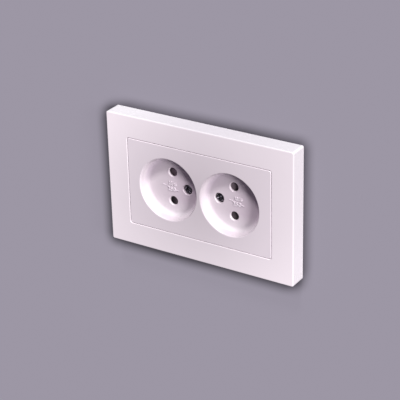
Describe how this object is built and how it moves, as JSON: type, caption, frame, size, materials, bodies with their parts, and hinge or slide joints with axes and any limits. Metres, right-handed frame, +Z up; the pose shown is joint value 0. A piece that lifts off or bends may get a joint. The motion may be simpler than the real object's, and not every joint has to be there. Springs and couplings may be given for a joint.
{
  "type": "double wall socket",
  "caption": "Flush double wall socket: wide outer frame, flat cover with two shallow round wells, vertical pin holes, shutters, contacts, terminals and spreading claws on a steel plate.",
  "frame": {"origin": "centre of the support plate's rear face, in the wall plane, midway between the two wall-box screws", "axes": "+X to the right seen from the room, +Y into the wall, +Z up"},
  "size_m": [0.1292, 0.0307, 0.086],
  "materials": {
    "cover_plastic": "white moulded plastic with a satin gloss",
    "screw_steel": "zinc-plated steel",
    "brass": "plain brass",
    "plate_steel": "galvanised sheet",
    "base_plastic": "matt moulded thermoset",
    "shutter_plastic": "matt moulded plastic",
    "spring_steel": "bright spring steel",
    "rivet_metal": "bright rivet"
  },
  "bodies": {
    "root": {"outer_frame": "cover_plastic", "front_cover": "cover_plastic", "cover_screw_left": "screw_steel", "cover_screw_right": "screw_steel", "cover_insert_left": "brass", "cover_insert_right": "brass", "support_plate": "plate_steel", "base_housing": "base_plastic", "base_rivet_upper": "rivet_metal", "base_rivet_lower": "rivet_metal", "shutter_floor": "base_plastic", "shutter_springs_left": "spring_steel", "shutter_springs_right": "spring_steel", "busbar_upper": "brass", "busbar_lower": "brass", "contact_spring_upper_left": "spring_steel", "contact_spring_upper_right": "spring_steel", "contact_spring_lower_left": "spring_steel", "contact_spring_lower_right": "spring_steel", "terminal_block_upper": "brass", "terminal_block_lower": "brass", "terminal_screw_upper_left": "screw_steel", "terminal_screw_upper_right": "screw_steel", "terminal_screw_lower_left": "screw_steel", "terminal_screw_lower_right": "screw_steel", "claw_pivot_upper": "plate_steel", "claw_pivot_lower": "plate_steel", "claw_screw_upper": "screw_steel", "claw_screw_lower": "screw_steel"},
    "shutter_left": {"shutter_left": "shutter_plastic"},
    "shutter_right": {"shutter_right": "shutter_plastic"},
    "claw_upper": {"claw_upper": "plate_steel"},
    "claw_lower": {"claw_lower": "plate_steel"},
    "claw_nut_upper": {"claw_nut_upper": "plate_steel"},
    "claw_nut_lower": {"claw_nut_lower": "plate_steel"}
  },
  "joints": [
    {"name": "shutter_left_slide", "type": "slide", "parent": "root", "child": "shutter_left", "axis": [1, 0, 0], "range_m": [0, 0.0066], "stiffness_N_per_m": 60, "springref_m": -0.002, "deforming": ["shutter_springs_left"]},
    {"name": "shutter_right_slide", "type": "slide", "parent": "root", "child": "shutter_right", "axis": [-1, 0, 0], "range_m": [0, 0.0066], "stiffness_N_per_m": 60, "springref_m": -0.002, "deforming": ["shutter_springs_right"]},
    {"name": "claw_nut_upper_travel", "type": "slide", "parent": "root", "child": "claw_nut_upper", "axis": [0, -1, 0], "range_m": [0, 0.005]},
    {"name": "claw_nut_lower_travel", "type": "slide", "parent": "root", "child": "claw_nut_lower", "axis": [0, -1, 0], "range_m": [0, 0.005]},
    {"name": "claw_upper_spread", "type": "hinge", "parent": "root", "child": "claw_upper", "pos_m": [-0.0086, 0.002, 0.0234], "axis": [1, 0, 0], "range_deg": [0, 14]},
    {"name": "claw_lower_spread", "type": "hinge", "parent": "root", "child": "claw_lower", "pos_m": [0.0086, 0.002, -0.0234], "axis": [-1, 0, 0], "range_deg": [0, 14]}
  ],
  "couplings": [
    {"joint": "claw_upper_spread", "follows": "claw_nut_upper_travel", "rad_per_m": 48.865},
    {"joint": "claw_lower_spread", "follows": "claw_nut_lower_travel", "rad_per_m": 48.865}
  ]
}
